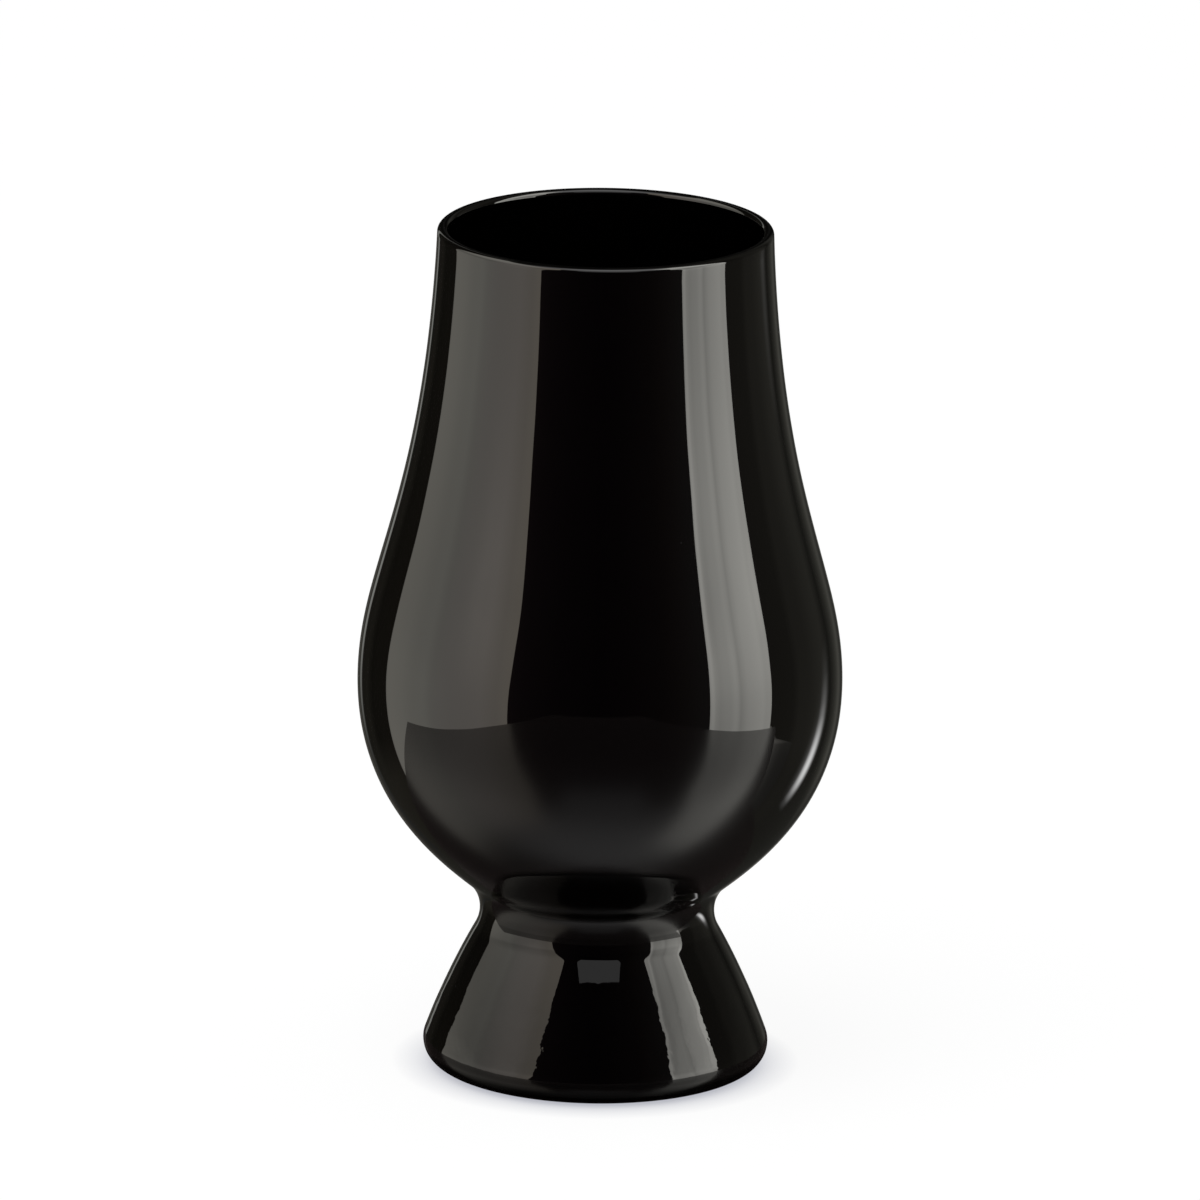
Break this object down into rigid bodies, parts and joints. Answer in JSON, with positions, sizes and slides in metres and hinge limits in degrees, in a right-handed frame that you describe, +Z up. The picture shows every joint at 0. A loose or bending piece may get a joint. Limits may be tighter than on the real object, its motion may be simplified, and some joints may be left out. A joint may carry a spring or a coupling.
{
  "type": "whisky nosing glass",
  "caption": "Black tulip-shaped glass for nosing and tasting spirits: a round belly draws in to a tall, slim mouth, on a short waist and a flared solid foot.",
  "frame": {"origin": "centre of the ring that the foot stands on, in the plane of the table", "axes": "+Z up along the glass's axis, towards the mouth; the glass is the same all round, so +X and +Y are any two level directions"},
  "size_m": [0.0646, 0.0646, 0.115],
  "materials": {
    "blown_glass": "fire-polished, high gloss, opaque black all through",
    "pressed_glass": "fire-polished, high gloss with the soft waves of a pressed piece, opaque black all through"
  },
  "bodies": {
    "root": {"bowl": "blown_glass", "foot": "pressed_glass"}
  },
  "joints": []
}
